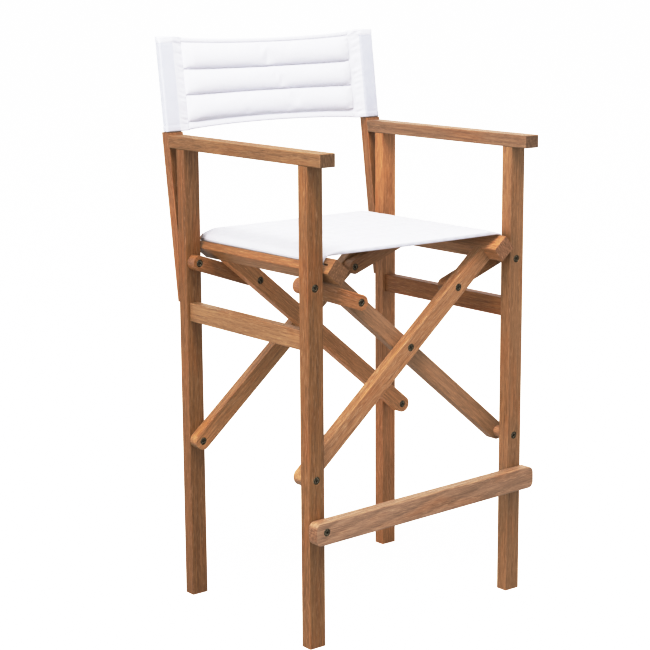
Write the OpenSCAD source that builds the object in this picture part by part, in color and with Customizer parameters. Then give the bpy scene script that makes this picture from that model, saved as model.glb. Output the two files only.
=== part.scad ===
// Folding bar-height armchair: two straight side frames joined by a crossed pair
// of swinging bars, with seat rails on the bars, four short brace links, a swing-up
// footrest and slings for the seat and the back.
// Millimetres. +Z up, the sitter faces -Y, +X is the sitter's left.

/* [Overall] */
// Width over the outer faces of the legs
overall_w = 563; // [520:1:600]
// Depth over the front and rear faces of the legs
leg_depth_overall = 428.5; // [410:0.5:450]
// Height of the armrests' top faces
arm_h = 968; // [950:1:985]

/* [Side frames] */
// Leg width, side to side
leg_w = 37; // [32:1:38]
// Leg thickness, front to back
leg_t = 26.5; // [24:0.5:28]
// Armrest width
arm_w = 37; // [32:1:38]
// Armrest thickness
arm_t = 25.5; // [20:0.5:26]
// How far the armrest runs past the front leg
arm_overhang = 39.5; // [20:0.5:60]
// Side stretcher height
stretcher_h = 38; // [30:1:44]
// Side stretcher thickness
stretcher_t = 22; // [18:1:24]
// Height of the side stretcher's centre
stretcher_z = 609; // [590:1:620]
// Backward lean of the back posts, degrees
post_lean = 7.5; // [6:0.1:9]
// Back post thickness
post_t = 22.4; // [21:0.2:24]
// Height of the back posts' tops, under the closed tops of the sleeves
post_top = 1153; // [1120:1:1160]
// Height of the back posts' blunt lower ends
post_foot = 628; // [610:1:650]
// Height of the shoulder under the back sling's sleeves
shoulder_z = 973; // [970:1:980]

/* [Folding bars] */
// Height of the swinging bars' lower pivots
bar_pivot_z = 338; // [330:1:345]
// Angle of the swinging bars to the floor when the chair is open, degrees
bar_angle = 39.9; // [39.5:0.1:40.3]
// Bar width
bar_w = 36; // [30:1:37]
// Bar thickness, front to back
bar_t = 23; // [20:0.5:23]
// Height of the brace links' pivots on the legs
link_pivot_z = 712; // [708:1:716]
// Distance from the bars' crossing pivot up to the brace links' pivots
link_on_bar = 166.1; // [160:0.1:170]
// Brace link width
link_w = 31; // [26:1:32]

/* [Seat rails] */
// Distance from the bars' crossing pivot to the seat rails' centres
rail_on_bar = 282.3; // [280:0.1:285]
// Seat rail size along the bar
rail_a = 40; // [36:1:42]
// Seat rail size across the bar
rail_b = 34; // [32:1:36]
// How far the seat rails run past the front legs' front faces
rail_nose = 11.75; // [8:0.25:18]
// Distance of the rod groove from the rail's outer top corner
groove_drop = 15.5; // [14:0.5:20]

/* [Footrest] */
// Height of the footrest's pivot
foot_z = 240; // [230:1:250]
// How far the footrest's pivot sits inwards of the leg's middle
foot_in = 5; // [0:0.5:8]
// Footrest height
foot_h = 46.5; // [38:0.5:48]
// How far the footrest's middle line lies under its pivot
foot_drop = 2.5; // [0:0.5:5]
// Footrest thickness
foot_t = 24.5; // [20:0.5:26]
// Footrest reach past its pivot towards the right
foot_near = 25.5; // [22:0.5:30]
// Footrest reach past its pivot towards the left
foot_far = 553.5; // [540:0.5:560]
// Slight rise of the footrest towards its resting end, degrees
foot_tilt = 1.1; // [0.5:0.1:1.5]

/* [Slings] */
// Thickness of the seat sling
seat_t = 6; // [4:0.5:8]
// Distance of the seat sling's front edge behind the rails' front ends
seat_setback = 27; // [20:1:35]
// Height of the top edge of the back sling
sling_top = 1165; // [1150:1:1180]
// Thickness of the back panel at its channels
panel_t = 13; // [8:1:16]

/* [Hardware] */
// Bolt shank radius
bolt_r = 3; // [2.5:0.5:3.5]
// Bolt head radius
head_r = 7.6; // [6:0.1:8]
// Dowel radius
dowel_r = 4; // [3:0.5:4.5]

/* [Hidden] */
$fn = 48;
run = 0.08;                       // running clearance of a turning bore
gap = 0.5;                        // side gap between pieces that swing past each other
ease = 1.2;                       // eased long edges
hx = overall_w/2;                 // outer face of a leg
hy = leg_depth_overall/2;         // front face of a leg
px = hx - leg_w/2;                // pivots sit in the middle of the leg
cz = bar_pivot_z + px*tan(bar_angle);             // crossing pivot
ca = cos(bar_angle);
sa = sin(bar_angle);
bar_reach = px/ca;                                // lower pivot to crossing pivot
dx = link_on_bar*ca;                              // brace pivot on the bar
dz = cz + link_on_bar*sa;
link_len = sqrt((px - dx)*(px - dx) + (link_pivot_z - dz)*(link_pivot_z - dz));
link_ang = atan2(dz - link_pivot_z, px - dx);     // slope of the brace, open
rx = rail_on_bar*ca;                              // seat rail centre
rz = cz + rail_on_bar*sa;
bar_len = bar_reach + rail_on_bar - rail_a/2;     // lower pivot to the rail's underside
y1 = -hy + leg_t + gap;                           // front face of the first bar plane
y2 = y1 + bar_t + gap;                            // front face of the second bar plane
rail_y0 = -hy - rail_nose;
rail_y1 = hy;
arm_y0 = -hy - arm_overhang;
post_slope = tan(post_lean);
post_y = 265.3;                                   // rear face of the post at the shoulder
post_d = post_t/cos(post_lean);                   // depth of the post, measured level
tenon_front = 2.6;                                // the sleeved part is set in at the front
tenon_rear = 7.6;                                 // and at the rear
tenon_w = leg_w - 3;                              // and a little narrower
seam_in = 24;                                     // the sleeve's seam stands this far inside it
sleeve_wall = 1.3;
seat_y0 = rail_y0 + seat_setback;
seat_y1 = rail_y1 - 8;
foot_y = -hy - gap - foot_t;
foot_px = px - foot_in;
// origin: the middle of the whole chair's footprint box
ox = -(foot_far - foot_near - 2*foot_px)/2;
rear_max = post_y + (sling_top - shoulder_z)*post_slope - tenon_rear + sleeve_wall;
oy = -(arm_y0 + rear_max)/2;

module place() translate([ox, oy, 0]) children();

// ---- plain shapes ----
module rrect(w, h, r) {
    square([w - 2*r, h], center = true);
    square([w, h - 2*r], center = true);
    for (i = [-1, 1], j = [-1, 1])
        translate([i*(w/2 - r), j*(h/2 - r)]) circle(r, $fn = 24);
}
// 2D (x, z) outline standing in the xz plane, y from 0 to t
module upright(t) translate([0, t, 0]) rotate([90, 0, 0]) linear_extrude(t) children();
// 2D (y, z) profile run along x
module along_x(l) rotate([90, 0, 90]) linear_extrude(l) children();
// round rod along y from y0 to y1
module rod_y(x, z, r, ya, yb) translate([x, yb, z]) rotate([90, 0, 0]) cylinder(r = r, h = yb - ya);

// A flat bar in its own axes: x along it from the pivot, y from 0 to t, z across
module flat_bar(len, w, t, round_end) {
    intersection() {
        upright(t) {
            circle(w/2, $fn = 64);
            translate([0, -w/2]) square([len, w]);
            if (round_end) translate([len, 0]) circle(w/2, $fn = 64);
        }
        translate([-w, t/2, 0]) along_x(len + 2*w) rrect(t, w, ease);
    }
}
// puts bar axes at a pivot, leaning up by ang from +x
module on_pivot(x, y, z, ang) translate([x, y, z]) rotate([0, -ang, 0]) children();

// bolt from the front: head at ya (recessed), nut at yb; n = false ends the shank plain
module bolt(x, z, ya, yb, n = true) {
    difference() {
        union() {
            rod_y(x, z, head_r, ya + 1.5, ya + 3.6);
            translate([x, ya + 1.5, z]) rotate([90, 0, 0]) cylinder(r1 = head_r, r2 = head_r - 1.9, h = 1.2);
            rod_y(x, z, bolt_r, ya + 3.6, n ? yb - 3.4 : yb);
            if (n) rod_y(x, z, head_r - 1.2, yb - 3.4, yb - 0.4);
        }
        translate([x, ya + 2.9, z]) rotate([90, 0, 0]) cylinder(r = 2.9, h = 4, $fn = 6);
        translate([x, ya + 0.9, z]) rotate([90, 0, 0]) cylinder(r1 = 3.2, r2 = 4.3, h = 0.8);
    }
}
// bevelled rim of a head's recess, in a face at ya
module sunk_rim(x, z, ya) translate([x, ya + 0.7, z]) rotate([90, 0, 0]) cylinder(r1 = head_r, r2 = head_r + 1.5, h = 1.5);
// the hole for that bolt, c wider in radius
module bolt_hole(x, z, ya, yb, n = true, c = 0) {
    rod_y(x, z, head_r + 0.1, ya - 1, ya + 3.7);
    sunk_rim(x, z, ya);
    rod_y(x, z, bolt_r + c, ya + 3, n ? yb - 3 : yb);
    if (n) rod_y(x, z, head_r - 1.1, yb - 3.5, yb + 1);
}
module dowel_x(x, y, z, l) translate([x - l/2, y, z]) rotate([0, 90, 0]) cylinder(r = dowel_r, h = l, $fn = 24);
module dowel_y(x, y, z, l) rod_y(x, z, dowel_r, y - l/2, y + l/2);
module dowel_z(x, y, z, l) translate([x, y, z - l/2]) cylinder(r = dowel_r, h = l, $fn = 24);
module hole_y(x, y, z, l) rod_y(x, z, dowel_r + 0.05, y - l/2 - 0.6, y + l/2 + 0.6);
module hole_z(x, y, z, l) translate([x, y, z - l/2 - 0.6]) cylinder(r = dowel_r + 0.05, h = l + 1.2);

// ---- bolts on the legs: s = -1 right frame, +1 left frame ----
// rear face of the piece that swings on a front leg, front face of the one on a rear leg
function swing_end(s) = s < 0 ? y1 + bar_t : y2 + bar_t;
module front_bolts(s) {
    bolt(s*px, bar_pivot_z, -hy, swing_end(s));
    bolt(s*px, link_pivot_z, -hy, swing_end(s));
}
module rear_bolts(s) {
    bolt(s*px, bar_pivot_z, -swing_end(s), hy - 4, n = false);
    bolt(s*px, link_pivot_z, -swing_end(s), hy - 4, n = false);
}

// ---- side frame members ----
module leg_blank(s, y) {
    translate([s*px, y + leg_t/2, 0]) linear_extrude(arm_h - arm_t) rrect(leg_w, leg_t, ease);
}
module arm_dowels(s) {
    dowel_z(s*px, -hy + leg_t/2, arm_h - arm_t, 28);
    dowel_z(s*px, hy - leg_t/2, arm_h - arm_t, 28);
}
module stretcher_dowels(s) {
    for (dz2 = [-9, 9]) {
        dowel_y(s*px, -hy + leg_t, stretcher_z + dz2, 28);
        dowel_y(s*px, hy - leg_t, stretcher_z + dz2, 28);
    }
}
module dowel_holes(s) {
    hole_z(s*px, -hy + leg_t/2, arm_h - arm_t, 28);
    hole_z(s*px, hy - leg_t/2, arm_h - arm_t, 28);
    for (dz2 = [-9, 9]) {
        hole_y(s*px, -hy + leg_t, stretcher_z + dz2, 28);
        hole_y(s*px, hy - leg_t, stretcher_z + dz2, 28);
    }
}
module front_leg(s) {
    difference() {
        leg_blank(s, -hy);
        bolt_hole(s*px, bar_pivot_z, -hy, swing_end(s));
        bolt_hole(s*px, link_pivot_z, -hy, swing_end(s));
        dowel_holes(s);
        if (s < 0) rod_y(-foot_px, foot_z, bolt_r, -hy - 1, -hy + leg_t - 3);
        if (s > 0) rod_y(px, peg_z, 2.5, -hy - 1, -hy + 14);
    }
}
module rear_leg(s) {
    difference() {
        leg_blank(s, hy - leg_t);
        rod_y(s*px, bar_pivot_z, bolt_r, 0, hy - 4);
        rod_y(s*px, link_pivot_z, bolt_r, 0, hy - 4);
        dowel_holes(s);
        post_screw_hole(s);
    }
}
module stretcher(s) {
    difference() {
        translate([s*px, hy - leg_t, stretcher_z]) rotate([90, 0, 0])
            linear_extrude(2*(hy - leg_t)) rrect(stretcher_t, stretcher_h, ease);
        dowel_holes(s);
    }
}
module armrest(s) {
    xm = s*(hx - arm_w/2);
    len = post_y - post_d + 10 - arm_y0;
    difference() {
        intersection() {
            translate([xm, arm_y0 + len, arm_h - arm_t/2]) rotate([90, 0, 0])
                linear_extrude(len) rrect(arm_w, arm_t, 2);
            translate([xm, 0, arm_h - arm_t - 1]) linear_extrude(arm_t + 2)
                translate([0, arm_y0 + len]) translate([0, -len/2 - 10]) {
                    rrect(arm_w + 0.2, len - 20, 3);
                    translate([0, 40]) square([arm_w + 0.2, len - 60], center = true);
                    translate([0, len/2]) square([arm_w + 0.2, 60], center = true);
                }
            translate([xm - arm_w, arm_y0, arm_h - arm_t/2]) along_x(2*arm_w)
                translate([len/2, 0]) { rrect(len, arm_t + 0.2, 2); translate([30, 0]) square([len - 40, arm_t + 0.2], center = true); }
        }
        // slanted rear end, flat against the post
        post_block(s, 0, 200);
        dowel_holes(s);
        arm_screw_hole(s);
    }
}
// everything behind the post's front face (d = 0) as a block d2 deep
module post_block(s, d, d2) {
    translate([s*px - leg_w, post_y - post_d + d, shoulder_z]) rotate([-post_lean, 0, 0])
        translate([0, 0, -400]) cube([2*leg_w, d2, 800]);
}
module back_post(s) {
    difference() {
        union() {
            // lower length, full thickness
            intersection() {
                translate([s*px, post_y - post_d/2, shoulder_z]) multmatrix([[1,0,0,0],[0,1,post_slope,0],[0,0,1,0]])
                    translate([0, 0, post_foot - shoulder_z - 1]) linear_extrude(shoulder_z - post_foot + 1) rrect(leg_w, post_d, ease);
                translate([s*px - leg_w, hy, post_foot]) cube([2*leg_w, 100, shoulder_z - post_foot]);
            }
            // thinner sleeved part
            translate([s*px, post_y - post_d/2 + (tenon_front - tenon_rear)/2, shoulder_z])
                multmatrix([[1,0,0,0],[0,1,post_slope,0],[0,0,1,0]])
                    translate([0, 0, -1]) linear_extrude(post_top - shoulder_z + 1)
                        rrect(tenon_w, post_d - tenon_front - tenon_rear, ease);
        }
        post_screw_hole(s);
        arm_screw_hole(s);
    }
}
ps_z = 694;      // lower post screw
as_z = 955;      // armrest screw
ps_y = post_y - (shoulder_z - ps_z)*post_slope;
as_y = post_y - (shoulder_z - as_z)*post_slope;
module screw_back(x, z, yb, yt) {
    difference() {
        union() {
            rod_y(x, z, head_r - 2, yb - 5, yb - 2.4);
            rod_y(x, z, 2, yt, yb - 4);
        }
        translate([x, yb + 1, z]) rotate([90, 0, 0]) cylinder(r = 2.2, h = 5, $fn = 6);
    }
}
module screw_back_hole(x, z, yb, yt) {
    rod_y(x, z, head_r - 1.9, yb - 5, yb + 6);
    rod_y(x, z, 2, yt - 1, yb - 4);
}
module post_screw_hole(s) screw_back_hole(s*px, ps_z, ps_y, hy - leg_t + 4);
module arm_screw_hole(s) screw_back_hole(s*(hx - arm_w/2), as_z, as_y, as_y - 55);
module post_screws(s) {
    screw_back(s*px, ps_z, ps_y, hy - leg_t + 4);
    screw_back(s*(hx - arm_w/2), as_z, as_y, as_y - 55);
}
// fabric sleeve round the right post, drawn in to a seam on the inner side
module right_sleeve() {
    d = post_d - tenon_front - tenon_rear;
    ym = post_y - post_d/2 + (tenon_front - tenon_rear)/2;
    translate([-px, ym, shoulder_z]) multmatrix([[1,0,0,0],[0,1,post_slope,0],[0,0,1,0]])
        translate([0, 0, 1.2]) difference() {
            linear_extrude(sling_top - shoulder_z - 1.2) sleeve_outline(d, sleeve_wall, seam_in);
            translate([0, 0, -1]) linear_extrude(post_top - shoulder_z + 1.2) sleeve_outline(d, 0.25, 0);
        }
}
module sleeve_outline(d, o, tip) {
    rrect(tenon_w + 2*o, d + 2*o, ease + o/2);
    if (tip > 0)
        polygon([[tenon_w/2 - 2, -d/2 - o], [tenon_w/2 + tip, -1.8], [tenon_w/2 + tip, 1.8], [tenon_w/2 - 2, d/2 + o]]);
}
module sleeve(s) { if (s < 0) right_sleeve(); else mirror([1, 0, 0]) right_sleeve(); }

// ---- right (root) frame ----
module right_front_leg() { color([0.66, 0.43, 0.26]) front_leg(-1); }
module right_rear_leg() { color([0.64, 0.41, 0.25]) rear_leg(-1); }
module right_armrest() { color([0.70, 0.47, 0.30]) armrest(-1); }
module right_stretcher() { color([0.62, 0.40, 0.25]) stretcher(-1); }
module right_back_post() { color([0.67, 0.44, 0.27]) back_post(-1); }
module right_dowels() { color([0.78, 0.62, 0.44]) { arm_dowels(-1); stretcher_dowels(-1); } }
module right_post_screws() { color([0.15, 0.13, 0.12]) post_screws(-1); }
module right_pivot_bolts() { color([0.16, 0.14, 0.12]) { front_bolts(-1); rear_bolts(-1); } }
module right_back_sleeve() { color([0.93, 0.93, 0.95]) sleeve(-1); }

// ---- left frame ----
module left_front_leg() { color([0.60, 0.38, 0.23]) front_leg(1); }
module left_rear_leg() { color([0.65, 0.43, 0.27]) rear_leg(1); }
module left_armrest() { color([0.70, 0.47, 0.31]) armrest(1); }
module left_stretcher() { color([0.66, 0.44, 0.28]) stretcher(1); }
module left_back_post() { color([0.68, 0.45, 0.28]) back_post(1); }
module left_dowels() { color([0.78, 0.62, 0.44]) { arm_dowels(1); stretcher_dowels(1); } }
module left_post_screws() { color([0.15, 0.13, 0.12]) post_screws(1); }
module left_pivot_bolts() { color([0.16, 0.14, 0.12]) { front_bolts(1); rear_bolts(1); } }
module left_back_sleeve() { color([0.93, 0.93, 0.95]) sleeve(1); }
// round wooden spacers that fill the first bar plane on the left legs
module left_spacers() {
    color([0.80, 0.60, 0.42]) for (z = [bar_pivot_z, link_pivot_z]) {
        difference() { rod_y(px, z, 12, -hy + leg_t, y2 - gap); rod_y(px, z, bolt_r, -hy, y2); }
        difference() { rod_y(px, z, 12, -y2 + gap, hy - leg_t); rod_y(px, z, bolt_r, -y2, hy); }
    }
}
// small steel peg under the footrest's free end
peg_z = foot_z + (px + foot_px)*tan(foot_tilt) - (foot_h/2 + foot_drop)/cos(foot_tilt) - 2.7;
module footrest_peg() {
    color([0.20, 0.18, 0.16]) rod_y(px, peg_z, 2.5, -hy - 6.5, -hy + 13.5);
}

// ---- swinging bars ----
// bar a leans up to the left, bar b up to the right
module bar_a_solid(ya, front) {
    difference() {
        on_pivot(-px, ya, bar_pivot_z, bar_angle) flat_bar(bar_len, bar_w, bar_t, false);
        // turns on the leg's bolt
        if (front) bolt_hole(-px, bar_pivot_z, -hy, swing_end(-1), c = run);
        else bolt_hole(-px, bar_pivot_z, -swing_end(-1), hy, n = false, c = run);
        // crossing bolt is fixed in this bar
        if (front) bolt_hole(0, cz, y1, y2 + bar_t);
        else bolt_hole(0, cz, -y2 - bar_t, -y1);
        // brace pivot
        if (front) brace_screw_hole(dx, dz, y1, y1 + bar_t);
        on_pivot(-px, ya + bar_t/2, bar_pivot_z, bar_angle) bar_dowel_hole();
    }
}
module bar_dowel_hole() for (v = [-8, 8]) translate([bar_len - 14.6, 0, v]) rotate([0, 90, 0]) cylinder(r = dowel_r - 0.95, h = 30);
module bar_dowels(ya) on_pivot(-px, ya + bar_t/2, bar_pivot_z, bar_angle)
    for (v = [-8, 8]) translate([bar_len - 14, 0, v]) rotate([0, 90, 0]) cylinder(r = dowel_r - 1, h = 27);
module brace_screw(x, z, ya, yb) bolt(x, z, ya, yb - 0.5, n = false);
module brace_screw_hole(x, z, ya, yb) { rod_y(x, z, head_r + 0.1, ya - 1, ya + 3.7); sunk_rim(x, z, ya); rod_y(x, z, bolt_r, ya + 3, yb - 0.5); }

module bar_a_front() { color([0.63, 0.40, 0.24]) bar_a_solid(y1, true); }
module bar_a_rear() { color([0.61, 0.39, 0.24]) bar_a_solid(-y1 - bar_t, false); }

// the same bar mirrored, in the second plane
module bar_b_solid(ya, front) {
    difference() {
        mirror([1, 0, 0]) on_pivot(-px, ya, bar_pivot_z, bar_angle) flat_bar(bar_len, bar_w, bar_t, false);
        if (front) bolt_hole(px, bar_pivot_z, -hy, swing_end(1), c = run);
        else bolt_hole(px, bar_pivot_z, -swing_end(1), hy, n = false, c = run);
        // turns on the crossing bolt
        if (front) bolt_hole(0, cz, y1, y2 + bar_t, c = run);
        else bolt_hole(0, cz, -y2 - bar_t, -y1, c = run);
        if (!front) brace_screw_hole(-dx, dz, -y2 - bar_t, -y2);
        mirror([1, 0, 0]) on_pivot(-px, ya + bar_t/2, bar_pivot_z, bar_angle) bar_dowel_hole();
    }
}
module bar_b_front() { color([0.58, 0.36, 0.21]) bar_b_solid(y2, true); }
module bar_b_rear() { color([0.66, 0.44, 0.28]) bar_b_solid(-y2 - bar_t, false); }

module crossing_bolts() {
    color([0.16, 0.14, 0.12]) { bolt(0, cz, y1, y2 + bar_t); bolt(0, cz, -y2 - bar_t, -y1); }
}
module bar_a_brace_screw() { color([0.16, 0.14, 0.12]) brace_screw(dx, dz, y1, y1 + bar_t); }
module bar_b_brace_screw() { color([0.16, 0.14, 0.12]) brace_screw(-dx, dz, -y2 - bar_t, -y2); }

// ---- seat rails: drawn for the left side, in the bar's own axes ----
module rail_solid() {
    difference() {
        translate([rx, rail_y1, rz]) rotate([0, -bar_angle, 0]) rotate([90, 0, 0])
            linear_extrude(rail_y1 - rail_y0) rrect(rail_a, rail_b, ease);
        // keyhole groove for the sling's rod, in the face turned outwards
        translate([rx, rail_y1 + 1, rz]) rotate([0, -bar_angle, 0]) rotate([90, 0, 0])
            linear_extrude(rail_y1 + 1 - (rail_y0 + 14)) {
                translate([rail_a/2 - 8, groove_v - 1.75]) square([10, 3.5]);
                translate([rail_a/2 - 11.5, groove_v]) circle(4.5, $fn = 32);
            }
    }
}
groove_v = rail_b/2 - groove_drop;
rod_x = rx + (rail_a/2 - 11.5)*ca - groove_v*sa;
rod_z = rz + (rail_a/2 - 11.5)*sa + groove_v*ca;
module left_seat_rail() {
    color([0.66, 0.43, 0.26]) difference() {
        rail_solid();
        on_pivot(-px, y1 + bar_t/2, bar_pivot_z, bar_angle) bar_dowel_hole();
        on_pivot(-px, -y1 - bar_t/2, bar_pivot_z, bar_angle) bar_dowel_hole();
    }
}
module right_seat_rail() {
    color([0.68, 0.45, 0.28]) mirror([1, 0, 0]) difference() {
        rail_solid();
        on_pivot(-px, y2 + bar_t/2, bar_pivot_z, bar_angle) bar_dowel_hole();
        on_pivot(-px, -y2 - bar_t/2, bar_pivot_z, bar_angle) bar_dowel_hole();
    }
}
module left_rail_dowels() { color([0.78, 0.62, 0.44]) { bar_dowels(y1); bar_dowels(-y1 - bar_t); } }
module right_rail_dowels() { color([0.78, 0.62, 0.44]) mirror([1, 0, 0]) { bar_dowels(y2); bar_dowels(-y2 - bar_t); } }
module left_sling_rod() { color([0.85, 0.85, 0.86]) rod_y(rod_x, rod_z, 3.2, seat_y0 - 4, rail_y1 - 1); }
module right_sling_rod() { color([0.85, 0.85, 0.86]) rod_y(-rod_x, rod_z, 3.2, seat_y0 - 4, rail_y1 - 1); }

// ---- brace links ----
module link_solid(s, ya) {
    mirror([s > 0 ? 1 : 0, 0, 0])
        on_pivot(-px, ya, link_pivot_z, link_ang) flat_bar(link_len, link_w, bar_t, true);
}
module right_front_link() {
    color([0.64, 0.42, 0.27]) difference() {
        link_solid(-1, y1);
        bolt_hole(-px, link_pivot_z, -hy, swing_end(-1), c = run);
        brace_screw_hole(-dx, dz, y1, y1 + bar_t);
    }
}
module right_rear_link() {
    color([0.58, 0.36, 0.21]) difference() {
        link_solid(-1, -y1 - bar_t);
        bolt_hole(-px, link_pivot_z, -swing_end(-1), hy, n = false, c = run);
    }
}
module left_front_link() {
    color([0.60, 0.38, 0.23]) difference() {
        link_solid(1, y2);
        bolt_hole(px, link_pivot_z, -hy, swing_end(1), c = run);
    }
}
module left_rear_link() {
    color([0.62, 0.40, 0.25]) difference() {
        link_solid(1, -y2 - bar_t);
        bolt_hole(px, link_pivot_z, -swing_end(1), hy, n = false, c = run);
        brace_screw_hole(dx, dz, -y2 - bar_t, -y2);
    }
}
module right_front_link_screw() { color([0.16, 0.14, 0.12]) brace_screw(-dx, dz, y1, y1 + bar_t); }
module left_rear_link_screw() { color([0.16, 0.14, 0.12]) brace_screw(dx, dz, -y2 - bar_t, -y2); }

// ---- footrest ----
module footrest() {
    color([0.64, 0.45, 0.30]) difference() {
        translate([-foot_px, foot_y, foot_z]) rotate([0, -foot_tilt, 0]) intersection() {
            upright(foot_t) translate([(foot_far - foot_near)/2, -foot_drop]) rrect(foot_far + foot_near, foot_h, 14);
            translate([-foot_near, foot_t/2, -foot_drop]) along_x(foot_far + foot_near) rrect(foot_t, foot_h, 3);
        }
        bolt_hole(-foot_px, foot_z, foot_y, 0, n = false, c = run);
    }
}
module footrest_bolt() { color([0.16, 0.14, 0.12]) bolt(-foot_px, foot_z, foot_y, -hy + leg_t - 3, n = false); }

// ---- slings ----
// seat: a taut sheet over the rails' outer top corners, down to the grooves
corner_x = rx + (rail_a/2)*ca - (rail_b/2)*sa;
corner_z = rz + (rail_a/2)*sa + (rail_b/2)*ca;
module seat_sling() {
    color([0.95, 0.95, 0.97]) translate([0, seat_y1, 0]) rotate([90, 0, 0]) linear_extrude(seat_y1 - seat_y0)
        polygon([
            [-corner_x - 0.4, corner_z + 0.5], [0, corner_z - 2.5], [corner_x + 0.4, corner_z + 0.5],
            [corner_x + 0.4 + (groove_drop - 3)*sa, corner_z + 0.5 - (groove_drop - 3)*ca],
            [corner_x + 2.4 + (groove_drop - 3)*sa, corner_z + 1.8 - (groove_drop - 3)*ca],
            [corner_x + 3, corner_z + 4], [corner_x - 2, corner_z + seat_t],
            [0, corner_z + seat_t - 2],
            [-corner_x + 2, corner_z + seat_t], [-corner_x - 3, corner_z + 4],
            [-corner_x - 2.4 - (groove_drop - 3)*sa, corner_z + 1.8 - (groove_drop - 3)*ca],
            [-corner_x - 0.4 - (groove_drop - 3)*sa, corner_z + 0.5 - (groove_drop - 3)*ca]
        ]);
}
// back panel between the sleeves' seams, three channels high
panel_x = px - tenon_w/2 - seam_in - 0.6;
panel_z0 = shoulder_z + 6;
panel_z1 = sling_top - 3;
module back_panel() {
    ch = (panel_z1 - panel_z0 - 14)/3;
    ym = post_y - post_d/2 + (tenon_front - tenon_rear)/2;
    color([0.96, 0.96, 0.98]) translate([0, ym, shoulder_z]) multmatrix([[1,0,0,0],[0,1,post_slope,0],[0,0,1,0]])
        translate([-panel_x, 0, panel_z0 - shoulder_z])
            along_x(2*panel_x) union() {
                translate([-2.4, 0]) square([4.8, panel_z1 - panel_z0]);
                for (i = [0:2]) translate([0, 7 + ch*(i + 0.5)]) rrect(panel_t, ch - 1, 5);
            }
}

place() right_front_leg();
place() right_rear_leg();
place() right_armrest();
place() right_stretcher();
place() right_back_post();
place() right_dowels();
place() right_post_screws();
place() right_pivot_bolts();
place() right_back_sleeve();
place() left_front_leg();
place() left_rear_leg();
place() left_armrest();
place() left_stretcher();
place() left_back_post();
place() left_dowels();
place() left_post_screws();
place() left_pivot_bolts();
place() left_back_sleeve();
place() left_spacers();
place() footrest_peg();
place() bar_a_front();
place() bar_a_rear();
place() bar_b_front();
place() bar_b_rear();
place() crossing_bolts();
place() bar_a_brace_screw();
place() bar_b_brace_screw();
place() left_seat_rail();
place() right_seat_rail();
place() left_rail_dowels();
place() right_rail_dowels();
place() left_sling_rod();
place() right_sling_rod();
place() right_front_link();
place() right_rear_link();
place() left_front_link();
place() left_rear_link();
place() right_front_link_screw();
place() left_rear_link_screw();
place() footrest();
place() footrest_bolt();
place() seat_sling();
place() back_panel();
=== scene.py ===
import math
import bpy
import bmesh
import numpy as np
from mathutils import Matrix, Vector, noise


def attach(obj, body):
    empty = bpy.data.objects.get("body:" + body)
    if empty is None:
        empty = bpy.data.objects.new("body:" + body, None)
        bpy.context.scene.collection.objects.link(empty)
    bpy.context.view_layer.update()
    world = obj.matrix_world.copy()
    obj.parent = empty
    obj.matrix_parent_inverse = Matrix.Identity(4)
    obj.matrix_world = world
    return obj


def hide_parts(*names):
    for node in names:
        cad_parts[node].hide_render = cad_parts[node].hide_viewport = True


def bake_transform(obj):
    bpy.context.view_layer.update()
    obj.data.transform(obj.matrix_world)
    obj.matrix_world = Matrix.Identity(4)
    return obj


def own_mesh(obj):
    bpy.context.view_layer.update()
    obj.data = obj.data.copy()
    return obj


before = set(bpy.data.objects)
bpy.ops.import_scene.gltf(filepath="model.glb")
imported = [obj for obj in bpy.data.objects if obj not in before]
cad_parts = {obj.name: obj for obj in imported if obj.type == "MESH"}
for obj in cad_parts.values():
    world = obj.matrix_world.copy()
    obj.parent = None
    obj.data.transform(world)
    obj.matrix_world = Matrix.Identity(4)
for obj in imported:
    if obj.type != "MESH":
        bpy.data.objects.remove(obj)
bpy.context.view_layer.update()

MM = 0.001
OX, OY = -6.0, -15.26364         # drawing axes to the frame, mm
CA, SA = math.cos(math.radians(39.9)), math.sin(math.radians(39.9))
SLOPE = math.tan(math.radians(7.5))


def P(x, y, z):
    return Vector(((x + OX) * MM, (y + OY) * MM, z * MM))


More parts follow.
